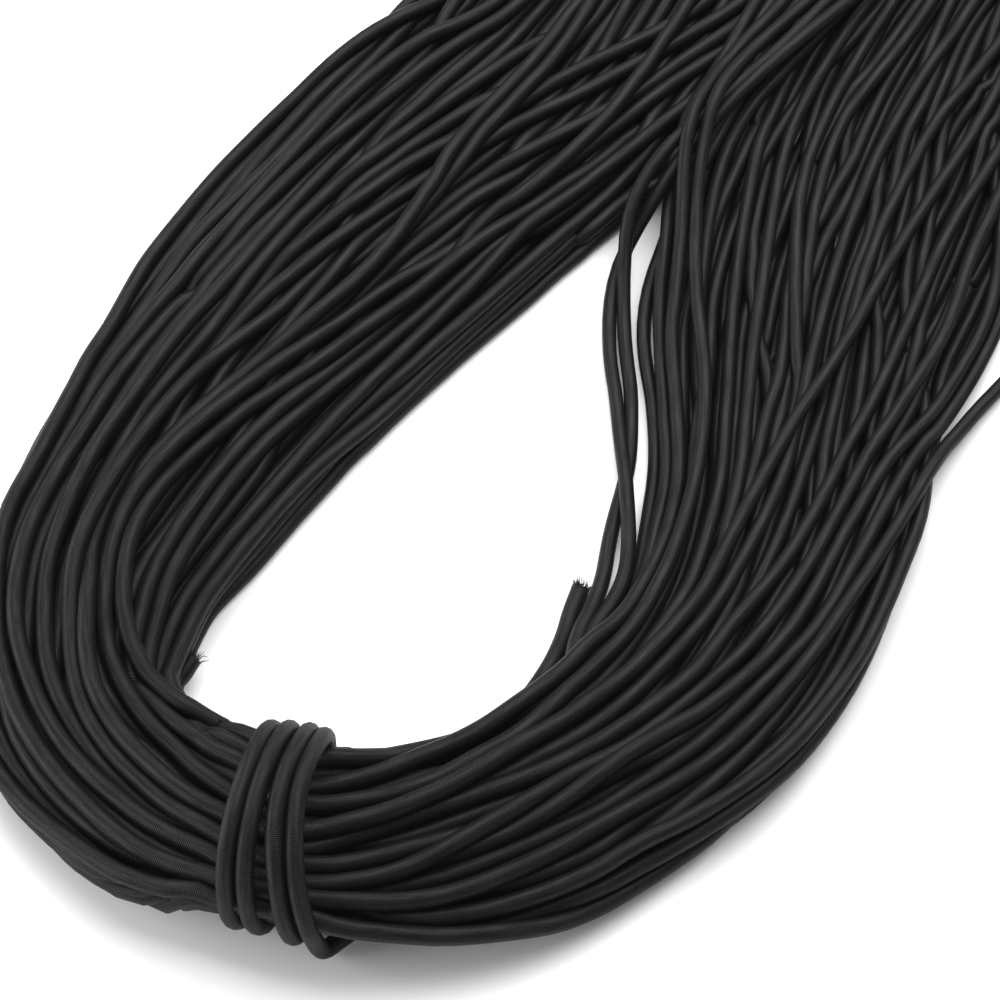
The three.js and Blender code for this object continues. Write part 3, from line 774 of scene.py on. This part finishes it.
    def lift_over(self):
        """Lifts the right leg's inner turns onto the left leg's where they lie over them."""
        form = self.form
        crossing = self.stations[form.over > 0.2]
        reach = form.middle[crossing, 1]
        left = self.legs["left"]
        left = left[(form.middle[left, 1] > reach.min() - 5) & (form.middle[left, 1] < reach.max() + 5)]
        points = self.points()
        upper_turns, upper_stations = np.nonzero(self.across[:, crossing] < 0)
        upper_stations = crossing[upper_stations]
        lower_turns, lower_stations = np.nonzero(self.across[:, left] < 0)
        lower_stations = left[lower_stations]
        upper = points[upper_turns, upper_stations]
        lower = points[lower_turns, lower_stations]
        diameter = 2 * form.thickness[lower_stations][None]
        along = form.along[lower_stations]
        offset = upper[:, None, :2] - lower[None, :, :2]
        ahead = np.abs((offset * along[None]).sum(2))
        side = np.abs(offset[:, :, 0] * along[None, :, 1] - offset[:, :, 1] * along[None, :, 0])
        near = (ahead < 0.7 * form.spacing) & (side < diameter)
        support = np.where(near, lower[None, :, 2] + np.sqrt(np.maximum(0, diameter**2 - side**2)), 0)
        missing = np.zeros_like(self.height)
        missing[upper_turns, upper_stations] = support.max(1) - self.height[upper_turns, upper_stations]
        missing = np.where(self.hold_height > 0, 0, np.maximum(missing, 0))
        lifted = missing.copy()
        for step in range(1, 9):
            fade = 0.5 + 0.5 * math.cos(math.pi * step / 9)
            for side_step in (-step, step):
                lifted = np.maximum(lifted, fade * np.roll(missing, side_step, 1))
        self.height += LIFT_UP * lifted

    def points(self):
        """The turns' points in space, one row after the other, in millimetres."""
        stations = np.broadcast_to(self.stations, self.across.shape)
        return self.form.place(stations, self.across, self.height)


def ring_frames(path):
    """Two directions across a path at each point, without twist."""
    along = np.gradient(path, axis=0)
    along /= np.linalg.norm(along, axis=1)[:, None]
    side = np.cross(along[0], (0.3, 0.2, 1.0))
    sides = []
    for direction in along:
        side = side - direction * (side @ direction)
        side = side / math.sqrt(side @ side)
        sides.append(side)
    sides = np.array(sides)
    return sides, np.cross(along, sides)


class TubeMesh:
    """Gathers round tubes and makes one mesh object of them."""

    def __init__(self, name):
        self.name = name
        self.points = []
        self.faces = []
        self.uvs = []

    def add(self, path, radius, sides=CORD_SIDES):
        """A tube in millimetres with flat ends. radius may be a number or one for each point."""
        path = np.array(path, float)
        count = len(path)
        radii = np.broadcast_to(radius, (count,))
        first, second = ring_frames(path)
        angles = 2 * math.pi * np.arange(sides) / sides
        cosines, sines = np.cos(angles)[None, :, None], np.sin(angles)[None, :, None]
        ring = cosines * first[:, None] + sines * second[:, None]
        points = path[:, None] + radii[:, None, None] * ring
        base = sum(len(rows) for rows in self.points)
        self.points.append(np.vstack([points.reshape(-1, 3), path[:1], path[-1:]]))
        gone = np.concatenate([[0], np.cumsum(np.linalg.norm(np.diff(path, axis=0), axis=1))]) * MM
        rows, columns = np.meshgrid(np.arange(count - 1), np.arange(sides), indexing="ij")
        rows, columns = rows.reshape(-1), columns.reshape(-1)
        following = (columns + 1) % sides
        corners = ((rows, columns), (rows, following), (rows + 1, following), (rows + 1, columns))
        self.faces.append(np.stack([base + row * sides + column for row, column in corners], 1))
        edge_columns = (columns, columns + 1, columns + 1, columns)
        edge_rows = (rows, rows, rows + 1, rows + 1)
        self.uvs.append(np.stack(
            [np.stack([column / sides, gone[row]], 1) for column, row in zip(edge_columns, edge_rows)], 1,
        ))
        for centre, row, turned in ((count * sides, 0, True), (count * sides + 1, count - 1, False)):
            column = np.arange(sides)
            after = (column + 1) % sides
            a, b = base + row * sides + column, base + row * sides + after
            middle = np.full(sides, base + centre)
            self.faces.append(np.stack([middle, b, a] if turned else [middle, a, b], 1))
            self.uvs.append(np.full((sides, 3, 2), gone[row]))

    def finish(self, material):
        """The object, smooth shaded, on the body and with a material."""
        mesh = bpy.data.meshes.new(self.name)
        points = np.vstack(self.points) * MM
        faces = [face for block in self.faces for face in block.tolist()]
        mesh.from_pydata(points.tolist(), [], faces)
        layer = mesh.uv_layers.new(name="Cord")
        layer.data.foreach_set("uv", np.concatenate([block.reshape(-1) for block in self.uvs]))
        mesh.polygons.foreach_set("use_smooth", np.ones(len(faces), bool))
        mesh.materials.append(material)
        mesh.update()
        piece = bpy.data.objects.new(self.name, mesh)
        bpy.context.scene.collection.objects.link(piece)
        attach(piece, "root")
        return piece


def covered_cord(settings):
    """The cord's finish: a black cover of fine slanted ribs, with a soft sheen, and a faint painted glow
    that stands in for the lens's veiling light on dark parts.
    """
    found = bpy.data.materials.get("Covered cord")
    if found:
        return found
    material = bpy.data.materials.new("Covered cord")
    material.use_nodes = True
    nodes, links = material.node_tree.nodes, material.node_tree.links
    shader = nodes["Principled BSDF"]
    shader.inputs["Roughness"].default_value = settings.roughness
    # Painted glow: the cover emits a faint bluish white light all over, standing in for the veiling light
    # that the lens adds to dark parts
    shader.inputs["Emission Color"].default_value = (0.9, 0.97, 1, 1)
    shader.inputs["Emission Strength"].default_value = settings.painted_glow

    uv = nodes.new("ShaderNodeUVMap")
    uv.uv_map = "Cord"
    split = nodes.new("ShaderNodeSeparateXYZ")
    links.new(uv.outputs[0], split.inputs[0])

    def arithmetic(operation, first, second=0.0):
        node = nodes.new("ShaderNodeMath")
        node.operation = operation
        for socket, value in zip(node.inputs, (first, second)):
            if isinstance(value, (int, float)):
                socket.default_value = value
            else:
                links.new(value, socket)
        return node.outputs[0]

    turns = arithmetic("MULTIPLY", split.outputs[1], 1 / settings.rib_pitch)
    slanted = arithmetic("ADD", turns, arithmetic("MULTIPLY", split.outputs[0], 2.0))
    wave = arithmetic("SINE", arithmetic("MULTIPLY", slanted, 2 * math.pi))

    place = nodes.new("ShaderNodeTexCoord")
    cloud = nodes.new("ShaderNodeTexNoise")
    cloud.inputs["Scale"].default_value = 60.0
    cloud.inputs["Detail"].default_value = 3.0
    links.new(place.outputs["Object"], cloud.inputs["Vector"])
    ramp = nodes.new("ShaderNodeMix")
    ramp.data_type = "RGBA"
    colour = tuple(settings.colour)
    ramp.inputs["A"].default_value = (*[part * 0.75 for part in colour], 1)
    ramp.inputs["B"].default_value = (*[part * 1.3 for part in colour], 1)
    links.new(cloud.outputs["Fac"], ramp.inputs["Factor"])
    links.new(ramp.outputs["Result"], shader.inputs["Base Color"])

    stretch = nodes.new("ShaderNodeMapping")
    stretch.inputs["Scale"].default_value = (20, 200, 1)
    links.new(uv.outputs[0], stretch.inputs["Vector"])
    streaks = nodes.new("ShaderNodeTexNoise")
    streaks.inputs["Scale"].default_value = 1.0
    links.new(stretch.outputs[0], streaks.inputs["Vector"])
    gloss = arithmetic("MULTIPLY", arithmetic("MULTIPLY", streaks.outputs["Fac"], 2.0), settings.gloss)
    links.new(gloss, shader.inputs["Specular IOR Level"])

    parts = nodes.new("ShaderNodeSeparateXYZ")
    links.new(place.outputs["Object"], parts.inputs[0])
    fade = nodes.new("ShaderNodeMapRange")
    fade.inputs["From Min"].default_value = -0.11
    fade.inputs["From Max"].default_value = -0.05
    fade.inputs["To Min"].default_value = settings.rib_strength
    fade.inputs["To Max"].default_value = settings.rib_strength * 0.2
    links.new(parts.outputs["Y"], fade.inputs["Value"])
    bump = nodes.new("ShaderNodeBump")
    links.new(fade.outputs["Result"], bump.inputs["Strength"])
    bump.inputs["Distance"].default_value = 0.00004
    links.new(wave, bump.inputs["Height"])
    links.new(bump.outputs[0], shader.inputs["Normal"])
    return material


class CordSettings(bpy.types.PropertyGroup):
    """Sizes and finish of the cord."""

    diameter: bpy.props.FloatProperty(
        name="Diameter", description="Diameter of the cord", default=0.0025, unit="LENGTH")
    turns: bpy.props.IntProperty(
        name="Turns", description="Turns of cord in the hank", default=56, min=8, max=80)
    packing: bpy.props.FloatProperty(
        name="Packing", description="Share of a section that cord fills", default=0.8, subtype="FACTOR")
    flat_share: bpy.props.FloatProperty(
        name="Flat share", description="How much of a section is cut flat below", default=0.15,
        subtype="FACTOR")
    seed: bpy.props.IntProperty(
        name="Seed", description="Seed of the turns' wandering", default=7)
    rib_pitch: bpy.props.FloatProperty(
        name="Rib pitch", description="Distance between ribs of the cover", default=0.00025,
        unit="LENGTH", precision=6)
    rib_strength: bpy.props.FloatProperty(
        name="Rib strength", description="Strength of the ribs' relief", default=0.5, subtype="FACTOR")
    roughness: bpy.props.FloatProperty(
        name="Roughness", description="Roughness of the cover", default=0.5, subtype="FACTOR")
    gloss: bpy.props.FloatProperty(
        name="Gloss", description="Strength of the cover's shine", default=0.15, subtype="FACTOR")
    # Strength of the painted glow, a faint emission of the cover standing in for the lens's veiling light
    # on dark parts
    painted_glow: bpy.props.FloatProperty(
        name="Veil", description="Faint light that the lens adds to dark parts", default=0.0025)
    colour: bpy.props.FloatVectorProperty(
        name="Colour", description="Colour of the cover", default=(0.004, 0.004, 0.0045), subtype="COLOR")


class TieSettings(bpy.types.PropertyGroup):
    """Sizes of the tie round the hank."""

    diameter: bpy.props.FloatProperty(
        name="Diameter", description="Diameter of the tie's cord", default=0.00245, unit="LENGTH")
    steps: bpy.props.IntProperty(
        name="Steps", description="Points in each turn of the tie", default=48)


class StageSettings(bpy.types.PropertyGroup):
    """Camera and light."""

    azimuth: bpy.props.FloatProperty(
        name="Azimuth", description="Camera's turn round the object", default=math.radians(26),
        unit="ROTATION")
    elevation: bpy.props.FloatProperty(
        name="Elevation", description="Camera's angle above the floor", default=math.radians(62),
        unit="ROTATION")
    distance: bpy.props.FloatProperty(
        name="Distance", description="Camera's distance from its target", default=0.6, unit="LENGTH")
    field: bpy.props.FloatProperty(
        name="Field", description="Width in view at the target", default=0.1316, unit="LENGTH")
    target: bpy.props.FloatVectorProperty(
        name="Target", description="Point that the camera looks at", default=(0.005, -0.0705, 0.008),
        unit="LENGTH")
    light: bpy.props.FloatProperty(
        name="Light", description="Strength of the soft lights", default=1.0)
    sky: bpy.props.FloatProperty(
        name="Sky", description="Strength of the light from all round", default=0.37)
    floor: bpy.props.FloatProperty(
        name="Floor", description="Size of the floor", default=6.0, unit="LENGTH")


def hank_form(cord):
    return HankForm(cord.diameter / MM, cord.turns, cord.packing, cord.flat_share)


class HANK_OT_wind(bpy.types.Operator):
    """Wind the turns of the hank"""

    bl_idname = "hank.wind"
    bl_label = "Wind the turns"

    def execute(self, context):
        cord = context.scene.hank_cord
        form = hank_form(cord)
        winding = Winding(form, PhotoView(context.scene.hank_stage), cord.turns, cord.seed)
        winding.relax(260)
        points = winding.points()
        bundles = np.array_split(np.arange(cord.turns), 3)
        for number, turns in enumerate(bundles, 1):
            tube = TubeMesh(f"hank_turns_{number}")
            path = points[turns].reshape(-1, 3)
            if number < len(bundles):
                path = np.vstack([path, points[turns[-1] + 1, :1]])
            radii = np.resize(form.thickness, len(path))
            tube.add(path, radii)
            piece = tube.finish(covered_cord(cord))
            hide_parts("hank")
        return {"FINISHED"}


class HANK_OT_tie(bpy.types.Operator):
    """Wrap the tie round the hank"""

    bl_idname = "hank.tie"
    bl_label = "Wrap the tie"

    def execute(self, context):
        cord, tie = context.scene.hank_cord, context.scene.hank_tie
        form = hank_form(cord)
        radius = tie.diameter / MM / 2
        marks = []
        for turn, (outer, top, inner, pressed, raised) in enumerate(TIE_TURNS):
            marks += [(turn, outer, -pressed), (turn + 0.25, top, 0), (turn + 0.5, inner, raised)]
        course = catmull_rom(marks + [(len(TIE_TURNS) - 0.2, TIE_TURNS[-1].inner, 0)], 8)
        route = [np.array(point) for point in TIE_FREE_END]
        for turns in np.arange(0, len(TIE_TURNS) - 0.25, 2 / tie.steps):
            place, off = (np.interp(turns, course[:, 0], column) for column in course.T[1:])
            angle = 2 * math.pi * turns
            route.append(self.outline_point(form, place / form.spacing, angle, radius + 0.05, off))
        tube = TubeMesh("tie_turns")
        tube.add(evenly(catmull_rom(route, 4), 0.5), radius)
        piece = tube.finish(covered_cord(cord))
        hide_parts("tie")
        return {"FINISHED"}

    def outline_point(self, form, place, angle, offset, off):
        """A point of a section's outline at a place between stations.

        The outline is grown by an offset, and its sides stand off by a further distance.
        """
        low = math.floor(place)
        share = place - low
        points = []
        for station in (low % STATIONS, (low + 1) % STATIONS):
            across = (form.half_width[station] + offset + off) * math.cos(angle)
            rise = 0.5 * (1 + math.sin(angle)) * (1 + form.flat_share) - form.flat_share
            top = form.height[station] + 2 * offset
            height = max(0, rise) * top + form.lift[station] - offset
            points.append(form.place(station, np.array(across), np.array(height)))
        return points[0] * (1 - share) + points[1] * share


def add_fibres(tube, path, radius, fibres, rng):
    """Loose fibres at a cut end, onward from the end of a path."""
    onward = path[-1] - path[-2]
    onward /= np.linalg.norm(onward)
    for _ in range(fibres):
        aside = rng.normal(0, 1, 3)
        aside -= onward * (aside @ onward)
        aside *= radius * math.sqrt(rng.uniform(0, 1)) / np.linalg.norm(aside)
        reach = rng.uniform(0.2, 1.4)
        lean = 0.5 * aside / radius + rng.normal(0, 0.25, 3)
        steps = np.linspace(0, 1, 5)[:, None]
        fibre = path[-1] - 0.2 * onward + 0.95 * aside + reach * (steps * onward + steps**2 * lean)
        fibre[:, 2] = np.maximum(fibre[:, 2], 0.1)
        tube.add(fibre, 0.06 * (1 - 0.6 * steps[:, 0]), 4)


class HANK_OT_ends(bpy.types.Operator):
    """Lay the cord's cut ends"""

    bl_idname = "hank.ends"
    bl_label = "Lay the cut ends"

    def execute(self, context):
        cord = context.scene.hank_cord
        radius = cord.diameter / MM / 2
        path = evenly(catmull_rom(LOOSE_END, 12), 1.0)
        tube = TubeMesh("loose_end_cord")
        tube.add(path, radius)
        piece = tube.finish(covered_cord(cord))
        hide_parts("loose_end")
        stub = TubeMesh("cut_stub")
        stub_path = evenly(catmull_rom(CUT_STUB, 12), 1.0)
        stub.add(stub_path, radius)
        stub.finish(covered_cord(cord))
        rng = np.random.default_rng(cord.seed)
        fray = TubeMesh("frayed_ends")
        add_fibres(fray, path, radius, 180, rng)
        add_fibres(fray, stub_path, radius, 80, rng)
        fray.finish(covered_cord(cord))
        return {"FINISHED"}


class HANK_OT_stage(bpy.types.Operator):
    """Set the floor, the light and the camera"""

    bl_idname = "hank.stage"
    bl_label = "Set the stage"

    def execute(self, context):
        stage = context.scene.hank_stage
        self.add_floor(context, stage)
        self.add_camera(context, stage)
        self.add_lights(context, stage)
        return {"FINISHED"}

    def add_floor(self, context, stage):
        half = stage.floor / 2
        mesh = bpy.data.meshes.new("floor")
        corners = [(-half, -half, 0), (half, -half, 0), (half, half, 0), (-half, half, 0)]
        mesh.from_pydata(corners, [], [(0, 1, 2, 3)])
        material = bpy.data.materials.new("White floor")
        material.use_nodes = True
        shader = material.node_tree.nodes["Principled BSDF"]
        shader.inputs["Base Color"].default_value = (0.9, 0.9, 0.9, 1)
        shader.inputs["Roughness"].default_value = 0.9
        mesh.materials.append(material)
        floor = bpy.data.objects.new("floor", mesh)
        context.scene.collection.objects.link(floor)

    def add_camera(self, context, stage):
        view = PhotoView(stage)
        data = bpy.data.cameras.new("camera")
        data.sensor_width = SENSOR_WIDTH
        data.lens = SENSOR_WIDTH * stage.distance / stage.field
        camera = bpy.data.objects.new("camera", data)
        camera.location = view.location
        camera.rotation_euler = (math.pi / 2 - stage.elevation, 0, stage.azimuth)
        context.scene.collection.objects.link(camera)
        context.scene.camera = camera

    def add_lights(self, context, stage):
        target = Vector(stage.target)
        view = PhotoView(stage)
        back = np.array([view.forward[0], view.forward[1], 0])
        back /= np.linalg.norm(back)
        for soft in LIGHTS:
            data = bpy.data.lights.new(soft.name, "AREA")
            data.shape = "RECTANGLE"
            data.size = soft.width
            data.size_y = soft.height
            data.energy = soft.power * stage.light
            light = bpy.data.objects.new(soft.name, data)
            aside = Vector(soft.back * back - soft.left * view.right)
            light.location = target + aside + Vector((0, 0, soft.up))
            light.rotation_euler = (target - light.location).to_track_quat("-Z", "Y").to_euler()
            context.scene.collection.objects.link(light)
        world = bpy.data.worlds.new("Soft studio")
        world.use_nodes = True
        background = world.node_tree.nodes["Background"]
        background.inputs["Color"].default_value = (1, 1, 1, 1)
        background.inputs["Strength"].default_value = stage.sky
        context.scene.world = world
        context.scene.view_settings.view_transform = "Standard"


class HANK_PT_panel(bpy.types.Panel):
    """The hank's sizes and steps"""

    bl_idname = "HANK_PT_panel"
    bl_label = "Tied hank"
    bl_space_type = "VIEW_3D"
    bl_region_type = "UI"
    bl_category = "Hank"

    def draw(self, context):
        scene = context.scene
        for settings in (scene.hank_cord, scene.hank_tie, scene.hank_stage):
            box = self.layout.box()
            for name in settings.__annotations__:
                box.prop(settings, name)
        for operator in STEPS:
            self.layout.operator(operator.bl_idname)


STEPS = (HANK_OT_wind, HANK_OT_tie, HANK_OT_ends, HANK_OT_stage)
CLASSES = (CordSettings, TieSettings, StageSettings, *STEPS, HANK_PT_panel)


def register():
    for item in CLASSES:
        bpy.utils.register_class(item)
    bpy.types.Scene.hank_cord = bpy.props.PointerProperty(type=CordSettings)
    bpy.types.Scene.hank_tie = bpy.props.PointerProperty(type=TieSettings)
    bpy.types.Scene.hank_stage = bpy.props.PointerProperty(type=StageSettings)


def unregister():
    del bpy.types.Scene.hank_cord
    del bpy.types.Scene.hank_tie
    del bpy.types.Scene.hank_stage
    for item in reversed(CLASSES):
        bpy.utils.unregister_class(item)


def main():
    register()
    bpy.ops.object.select_all(action="DESELECT")
    bpy.ops.hank.stage()
    bpy.ops.hank.ends()
    bpy.ops.hank.wind()
    bpy.ops.hank.tie()


if __name__ == "__main__":
    main()
